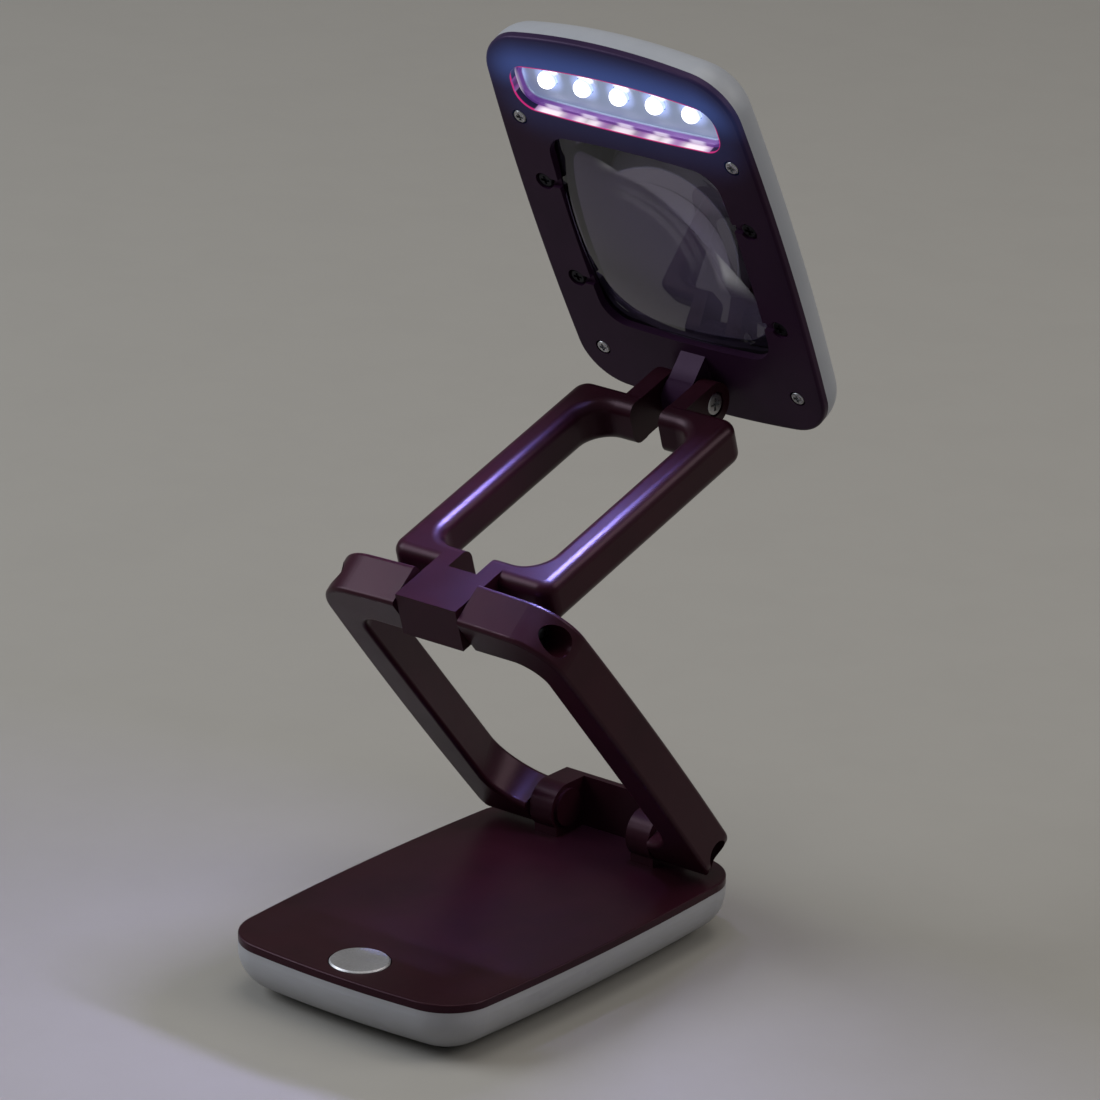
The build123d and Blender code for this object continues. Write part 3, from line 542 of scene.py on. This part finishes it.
@dataclass(frozen=True)
class LitReflector:
    """Bright tray round the lamps, with painted light given as emission: a halo round each lamp, a bright
    spot beyond it and streaks at its edge.
    """

    name: str = "reflector"
    # Painted light given as emission on the tray, which is no lamp: floor glow, halos, spots and streaks;
    # the base colour is made darker violet at the shallow edge as painted shade.
    colour: Colour = (0.42, 0.46, 0.56)
    floor: Colour = (0.08, 0.12, 0.20)
    halo: Colour = (0.35, 0.46, 0.90)
    spot: Colour = (1.0, 0.96, 1.0)
    edge: Colour = (0.06, 0.02, 0.14)
    painted_edge_shade: Colour = (0.17, 0.07, 0.24)
    spot_row: float = -46.8 * MM
    spot_shift: float = 1.1 * MM
    spot_half_length: float = 2.7 * MM
    spot_half_width: float = 1.5 * MM
    spot_edge: Span = (0.35, 1.25)
    halo_reach: Span = (2.4 * MM, 5.6 * MM)
    halo_fall: float = 1.3
    halo_share: float = 0.75
    rim_depth: Span = (3.2 * MM, 3.7 * MM)
    streak_reach: Span = (0.4, 0.95)
    streak_depth: Span = (2.3 * MM, 2.7 * MM)
    streak_share: float = 0.5

    def make(self) -> bpy.types.Material:
        """Build the material: painted light from distances to the nearest lamp and to the spot beyond it."""
        graph = Graph(self.name)
        u, v, w = HEAD.parts(graph)
        # Painted light: halos round the lamps, bright spots beyond them and streaks at the edge, all as
        # emission.
        to_lamp = (WINDOW.to_lamp(u) ** 2.0 + (v - WINDOW.lamp_row) ** 2.0) ** 0.5
        halo = to_lamp.fall(*self.halo_reach) ** self.halo_fall
        beside = WINDOW.to_lamp(u - self.spot_shift) / self.spot_half_length
        beyond = (v - self.spot_row) / self.spot_half_width
        spot = (beside ** 2.0 + beyond ** 2.0).fall(*self.spot_edge)
        shallow = w.fall(*self.rim_depth)
        streak = WINDOW.wave(u).step(*self.streak_reach) * w.fall(*self.streak_depth) * self.streak_share
        glow = graph.blend(halo * self.halo_share, self.floor, self.halo)
        glow = graph.blend(shallow, glow, graph.blend(streak, self.edge, self.spot))
        glow = graph.blend(spot * (1.0 - shallow), glow, self.spot)
        fine = graph.noise(graph.point(), 900.0, 2.0, 0.5)
        return graph.surface(
            Base_Color=graph.blend(shallow, self.colour, self.painted_edge_shade),
            Metallic=0.2,
            Roughness=fine * 0.12 + 0.25,
            Emission_Color=glow,
            Emission_Strength=1.0,
        )


@dataclass(frozen=True)
class ClearLens:
    """Lens resin with painted shade and painted reflections: a dark smoky colour that stands in for the dark
    room seen through it, and two clearer arcs near the dome's edge that stand in for reflections.
    """

    name: str = "clear_lens"
    # Painted shade: the dark smoky colour stands in for the dark room seen through the lens; the clear
    # colour is used for the painted reflection arcs.
    painted_dark_room_tint: Colour = (0.095, 0.080, 0.145)
    clear: Colour = (0.78, 0.80, 0.90)
    arc_centre: tuple[float, float] = (-8.0 * MM, 7.0 * MM)
    back_shift: tuple[float, float] = (-2.4 * MM, 2.6 * MM)
    outer_arc: float = 26.0 * MM
    inner_arc: float = 19.5 * MM
    arc_turn: float = -0.75
    behind_depth: Span = (3.0 * MM, 4.0 * MM)
    outer_edge: Span = (-0.8 * MM, 1.0 * MM)
    outer_spread: Span = (0.75, 1.05)
    inner_edge: Span = (0.6 * MM, 1.9 * MM)
    inner_spread: Span = (0.55, 0.95)
    inner_share: float = 0.22

    def make(self) -> bpy.types.Material:
        """Build the material: painted reflection arcs from the distance to their centre, and faint handling
        marks.
        """
        graph = Graph(self.name)
        u, v, w = HEAD.parts(graph)
        behind = w.step(*self.behind_depth)
        across = u - self.arc_centre[0] - behind * self.back_shift[0]
        along = v - self.arc_centre[1] - behind * self.back_shift[1]
        radius = (across ** 2.0 + along ** 2.0) ** 0.5
        turn = abs(along.angle_to(across) - self.arc_turn)
        # Painted reflections: two arcs where the resin is made clearer, standing in for bright reflections
        # on the dome.
        broad_painted_reflection = (radius - self.outer_arc).step(*self.outer_edge) * turn.fall(*self.outer_spread)
        thin_painted_reflection = abs(radius - self.inner_arc).fall(*self.inner_edge) * turn.fall(*self.inner_spread)
        smear = graph.noise(graph.point(), 60.0, 4.0, 0.6)
        return graph.surface(
            Base_Color=graph.blend(broad_painted_reflection.largest(thin_painted_reflection * self.inner_share), self.painted_dark_room_tint, self.clear),
            Roughness=smear.step(0.5, 0.8) * 0.03 + 0.004,
            IOR=1.49,
            Transmission_Weight=1.0,
            Specular_IOR_Level=0.5,
        )


@dataclass(frozen=True)
class MatteGrain:
    """Matt material with speckle: rubber, circuit board, cell jackets and stage surfaces."""

    name: str
    colour: Colour
    speck: Colour
    roughness: float = 0.8
    scale: float = 900.0
    height: float = 0.02 * MM

    def make(self) -> bpy.types.Material:
        """Build the material."""
        graph = Graph(self.name)
        place = graph.point()
        fleck = graph.noise(place, self.scale, 3.0, 0.6)
        return graph.surface(
            Base_Color=graph.blend(fleck.step(0.4, 0.66), self.colour, self.speck),
            Roughness=(fleck - 0.5) * 0.15 + self.roughness,
            Normal=graph.bump(fleck, self.height),
        )


# Meshes from grids


def grid_mesh(name: str, points: np.ndarray, wrap: bool, smooth: bool = True) -> bpy.types.Object:
    """Turn a grid of points into a mesh object: each cell becomes one four-sided face.

    Args:
        name: the object's name.
        points: rows by columns by 3, in metres; a row whose points are all alike becomes one pole.
        wrap: whether the last column joins the first.
        smooth: whether the faces are shaded smooth.

    Returns:
        The new object, linked to the scene.
    """
    rows, columns = points.shape[:2]
    index = np.arange(rows * columns).reshape(rows, columns)
    for row in (0, rows - 1):
        if np.ptp(points[row], axis=0).max() < 1e-9:
            index[row] = index[row, 0]
    ahead = np.roll(index, -1, axis=1)
    last = columns if wrap else columns - 1
    cells = np.stack([index[:-1], ahead[:-1], ahead[1:], index[1:]], axis=-1)[:, :last].reshape(-1, 4)
    kept, flat = np.unique(cells, return_inverse=True)
    cells = flat.reshape(-1, 4)
    faces = [list(dict.fromkeys(cell)) for cell in cells.tolist()]
    mesh = bpy.data.meshes.new(name)
    mesh.from_pydata(points.reshape(-1, 3)[kept].tolist(), [], faces)
    mesh.polygons.foreach_set("use_smooth", np.full(len(faces), smooth))
    mesh.update()
    piece = bpy.data.objects.new(name, mesh)
    bpy.context.scene.collection.objects.link(piece)
    return piece


def dress(piece: bpy.types.Object, material: bpy.types.Material) -> None:
    """Give every slot of a piece one material."""
    piece.data.materials.clear()
    piece.data.materials.append(material)


# Sub-assemblies


@dataclass
class Lens:
    """The lens as one smooth closed surface: two domes on a rounded square flange."""

    width: float = 57.0 * MM
    length: float = 66.0 * MM
    middle: float = 5.0 * MM
    radius: float = 8.0 * MM
    bow: float = 1.2 * MM
    clear: float = 0.25 * MM
    lip: float = 2.0 * MM
    front: float = 2.2 * MM
    thickness: float = 2.5 * MM
    dome_radius: float = 35.0 * MM
    front_rise: float = 3.9 * MM
    back_rise: float = 4.6 * MM
    around: int = 240
    along: int = 56

    def outline(self, angle: np.ndarray, inset: float) -> np.ndarray:
        """Radius of the window's outline at each angle.

        The outline is where the rounded box formula, with sides bowed as a parabola, is zero. It is
        found by halving an interval of radius.

        Args:
            angle: angles in radians.
            inset: how far the outline is drawn in.

        Returns:
            The radii in metres.
        """
        low, high = np.zeros_like(angle), np.full_like(angle, self.length)
        corner = self.radius - inset
        for _ in range(36):
            middle = (low + high) / 2
            u, v = middle * np.cos(angle), middle * np.sin(angle)
            half_u = self.width / 2 - self.bow * (v / (self.length / 2)) ** 2 - inset
            half_v = self.length / 2 - self.bow * (u / (self.width / 2)) ** 2 - inset
            over_u, over_v = np.abs(u) - half_u + corner, np.abs(v) - half_v + corner
            gap = np.hypot(np.maximum(over_u, 0), np.maximum(over_v, 0))
            gap += np.minimum(np.maximum(over_u, over_v), 0) - corner
            low, high = np.where(gap < 0, middle, low), np.where(gap < 0, high, middle)
        return (low + high) / 2

    def cap(self, radius: np.ndarray, rise: float) -> np.ndarray:
        """Height of a spherical cap of the dome's plan radius, and zero beyond it."""
        sphere = (self.dome_radius ** 2 + rise ** 2) / (2 * rise)
        inside = np.minimum(radius, self.dome_radius)
        return np.sqrt(sphere ** 2 - inside ** 2) - (sphere - rise)

    def build(self) -> bpy.types.Object:
        """Build the lens: rings from the front pole over the flange to the back pole.

        Returns:
            The lens object.
        """
        angle = np.linspace(0, 2 * math.pi, self.around, endpoint=False)
        inner, outer = self.outline(angle, self.clear), self.outline(angle, -self.lip)
        share = np.sin(np.linspace(0, math.pi / 2, self.along))[:, None]
        back = self.front + self.thickness
        radius = share * inner
        rings = [
            (radius, self.front - self.cap(radius, self.front_rise)),
            (inner[None], np.full((1, self.around), self.front)),
            (outer[None], np.full((1, self.around), self.front)),
            (outer[None], np.full((1, self.around), back)),
            (inner[None], np.full((1, self.around), back)),
            (radius[::-1], back + self.cap(radius[::-1], self.back_rise)),
        ]
        reach = np.concatenate([ring[0] for ring in rings])
        depth = np.concatenate([ring[1] for ring in rings])
        local = np.stack([reach * np.cos(angle), self.middle + reach * np.sin(angle), depth], axis=-1)
        matrix = np.array(HEAD.matrix())
        points = local @ matrix[:3, :3].T + matrix[:3, 3]
        piece = grid_mesh("clear_lens_body", points, True)
        crease = piece.modifiers.new("Crease", "EDGE_SPLIT")
        crease.split_angle = math.radians(30)
        dress(piece, ClearLens().make())
        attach(piece, "head")
        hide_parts("magnifier_lens")
        LOG.info("lens: %d faces", len(piece.data.polygons))
        return piece


@dataclass
class Plating:
    """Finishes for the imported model's own nodes, by node name."""

    wine: MouldedPlastic = MouldedPlastic(
        "wine_plastic", (0.0230, 0.0044, 0.0085), (0.0165, 0.0034, 0.0064), 0.33, gloss=0.17,
        gloss_tint=(1.0, 0.66, 0.78))
    face: GlowingFace = GlowingFace(
        "wine_face", (0.022, 0.007, 0.021), (0.016, 0.005, 0.016), 0.42, gloss=0.14,
        gloss_tint=(0.95, 0.62, 1.0))
    pale: MouldedPlastic = MouldedPlastic("pale_shell", (0.33, 0.33, 0.34), (0.30, 0.30, 0.31), 0.45)
    shell: ShellWithPaintedShade = ShellWithPaintedShade("pale_head_shell", (0.31, 0.32, 0.345), (0.28, 0.29, 0.315), 0.45)
    steel: BrushedMetal = BrushedMetal("steel", (0.50, 0.50, 0.51), 0.32)
    black_steel: BrushedMetal = BrushedMetal("black_steel", (0.02, 0.02, 0.024), 0.4)
    button: BrushedMetal = BrushedMetal("button_silver", (0.52, 0.51, 0.52), 0.46, (0.0, -0.0705, 0.0), 0.8)
    lamps: LampGlow = field(default_factory=LampGlow)
    reflector: LitReflector = field(default_factory=LitReflector)
    rubber: MatteGrain = MatteGrain("foot_rubber", (0.05, 0.05, 0.05), (0.07, 0.07, 0.07), 0.85)
    board: MatteGrain = MatteGrain("circuit_board", (0.02, 0.12, 0.05), (0.03, 0.16, 0.07), 0.45)
    switch: MatteGrain = MatteGrain("switch_body", (0.02, 0.02, 0.02), (0.035, 0.035, 0.035), 0.6)
    cells: MatteGrain = MatteGrain("cell_jacket", (0.30, 0.31, 0.33), (0.36, 0.37, 0.39), 0.35)

    def lookup(self) -> dict[str, tuple[str, ...]]:
        """Name of each finish to the nodes that it covers."""
        return {
            "wine": ("base_cover", "lower_arm_right", "lower_arm_left", "upper_arm_right", "upper_arm_left"),
            "face": ("head_face",),
            "pale": ("base_tub", "battery_door"),
            "shell": ("head_back",),
            "steel": (
                "case_screws", "base_hinge_screws", "base_hinge_washers", "elbow_nut",
                "elbow_washers", "neck_bolt", "neck_nut", "neck_washers", "head_screws", "battery_contacts",
            ),
            "black_steel": ("lens_screws", "elbow_bolt"),
            "button": ("power_button",),
            "lamps": ("led_lamps",),
            "reflector": ("led_reflector",),
            "rubber": ("rubber_feet",),
            "board": ("switch_board", "led_board"),
            "switch": ("push_switch", "lens_frame"),
            "cells": ("battery_cells",),
        }

    def build(self) -> None:
        """Make each finish once and give it to its nodes."""
        for key, names in self.lookup().items():
            material = getattr(self, key).make()
            for name in names:
                dress(frame["nodes"][name], material)
            LOG.info("finish %s on %s", key, ", ".join(names))


@dataclass
class Studio:
    """Floor that sweeps up into a backdrop, soft lights and the camera."""

    azimuth: float = 37.739
    elevation: float = 20.285
    roll: float = 1.176
    focal: float = 6843.3
    distance: float = 1.73395
    target: tuple[float, float, float] = (0.019049, -0.0195, 0.118482)
    frame_pixels: float = 1100.0
    floor_colour: Colour = (0.292, 0.276, 0.248)
    beam_watts: float = 0.35
    glint_watts: float = 1.5

    def sweep(self) -> None:
        """Build the floor and backdrop: a profile of floor, quarter round and wall, carried sideways.

        The profile runs straight, then along a quarter circle, then straight up, and is turned to face
        the camera.
        """
        reach, height, bend = 1.6, 2.6, 0.7
        turn = np.linspace(0, math.pi / 2, 24)
        run = np.concatenate([[-2.6], reach + bend * np.sin(turn), [reach + bend]])
        rise = np.concatenate([[0.0], bend - bend * np.cos(turn), [height]])
        side = np.linspace(-4.0, 4.0, 9)
        angle = math.radians(self.azimuth)
        away = np.array([-math.sin(angle), math.cos(angle), 0])
        across = np.array([math.cos(angle), math.sin(angle), 0])
        points = run[:, None, None] * away + side[None, :, None] * across
        points = points + rise[:, None, None] * np.array([0, 0, 1.0])
        stage = grid_mesh("sweep", points, False)
        speck = tuple(channel * 0.985 for channel in self.floor_colour)
        paper = MatteGrain("stage_paper", self.floor_colour, speck, 0.9, 30.0, 0.0)
        dress(stage, paper.make())

    def lamp(self, name: str, place: Sequence[float], aim: Sequence[float], size: float, watts: float,
             colour: Colour) -> None:
        """Add one square area light.

        Args:
            name: the light's name.
            place: where it stands, in metres.
            aim: the point that it faces.
            size: side of the square in metres.
            watts: power.
            colour: colour of its light.
        """
        light = bpy.data.lights.new(name, "AREA")
        light.size, light.energy, light.color = size, watts, colour
        holder = bpy.data.objects.new(name, light)
        holder.location = place
        holder.rotation_euler = (Vector(aim) - Vector(place)).to_track_quat("-Z", "Y").to_euler()
        bpy.context.scene.collection.objects.link(holder)

    def beam(self, name: str, watts: float, colour: Colour, lights_surfaces: bool) -> None:
        """Add the light of the row of lamps, just in front of the window, carried by the head.

        Args:
            name: the light's name.
            watts: power.
            colour: colour of its light.
            lights_surfaces: whether it lights dull surfaces as well as making highlights.
        """
        light = bpy.data.lights.new(name, "AREA")
        light.shape, light.size, light.size_y = "RECTANGLE", 0.052, 0.005
        light.energy, light.color, light.spread = watts, colour, math.radians(150.0)
        holder = bpy.data.objects.new(name, light)
        bpy.context.scene.collection.objects.link(holder)
        holder.matrix_world = HEAD.matrix() @ Matrix.Translation((0.0, WINDOW.lamp_row, -1.5 * MM))
        holder.visible_camera = False
        holder.visible_diffuse = lights_surfaces
        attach(holder, "head")

    def lights(self) -> None:
        """Set the world and the soft lights round the lamp."""
        world = bpy.data.worlds.new("studio")
        world.use_nodes = True
        back = world.node_tree.nodes["Background"]
        back.inputs["Color"].default_value = (0.80, 0.82, 0.86, 1.0)
        back.inputs["Strength"].default_value = 0.25
        bpy.context.scene.world = world
        self.lamp("key_left", (-1.5, -0.9, 1.3), (0, 0, 0.1), 1.2, 27.0, (0.90, 0.94, 1.0))
        self.lamp("top_soft", (0.1, 0.2, 1.9), (0, 0, 0.1), 1.4, 13.0, (1.0, 0.97, 0.92))
        self.lamp("fill_right", (1.3, 0.9, 1.2), (0, 0, 0.15), 0.9, 9.0, (1.0, 0.97, 0.94))
        self.lamp("floor_left", (-1.1, -0.6, 0.9), (-0.55, -0.25, 0.0), 1.1, 2.0, (0.42, 0.66, 1.0))

    def camera(self) -> None:
        """Place the camera from its azimuth, elevation and roll about the target.

        The back vector points from the target to the camera. The right vector is square to it and level,
        and both are then rolled.
        """
        turn, tilt, roll = (math.radians(a) for a in (self.azimuth, self.elevation, self.roll))
        back = Vector((math.sin(turn) * math.cos(tilt), -math.cos(turn) * math.cos(tilt), math.sin(tilt)))
        right = Vector((0, 0, 1)).cross(back).normalized()
        up = back.cross(right)
        rolled = math.cos(roll) * right + math.sin(roll) * up
        upright = -math.sin(roll) * right + math.cos(roll) * up
        data = bpy.data.cameras.new("camera")
        data.sensor_width = 36.0
        data.lens = self.focal / self.frame_pixels * data.sensor_width
        data.clip_end = 20.0
        holder = bpy.data.objects.new("camera", data)
        place = Matrix((rolled, upright, back)).transposed().to_4x4()
        place.translation = Vector(self.target) + back * self.distance
        holder.matrix_world = place
        bpy.context.scene.collection.objects.link(holder)
        bpy.context.scene.camera = holder

    def build(self) -> None:
        """Build stage, lights and camera."""
        self.sweep()
        self.lights()
        self.beam("lamp_row", self.beam_watts, (0.60, 0.55, 1.0), True)
        self.beam("lamp_glints", self.glint_watts, (0.22, 0.28, 1.0), False)
        self.camera()
        bpy.context.scene.view_settings.view_transform = "Standard"
        LOG.info("studio ready")


def main() -> None:
    """Build every sub-assembly."""
    logging.basicConfig(level=logging.INFO, format="%(name)s: %(message)s")
    Studio().build()
    Plating().build()
    Lens().build()


if __name__ == "__main__":
    main()
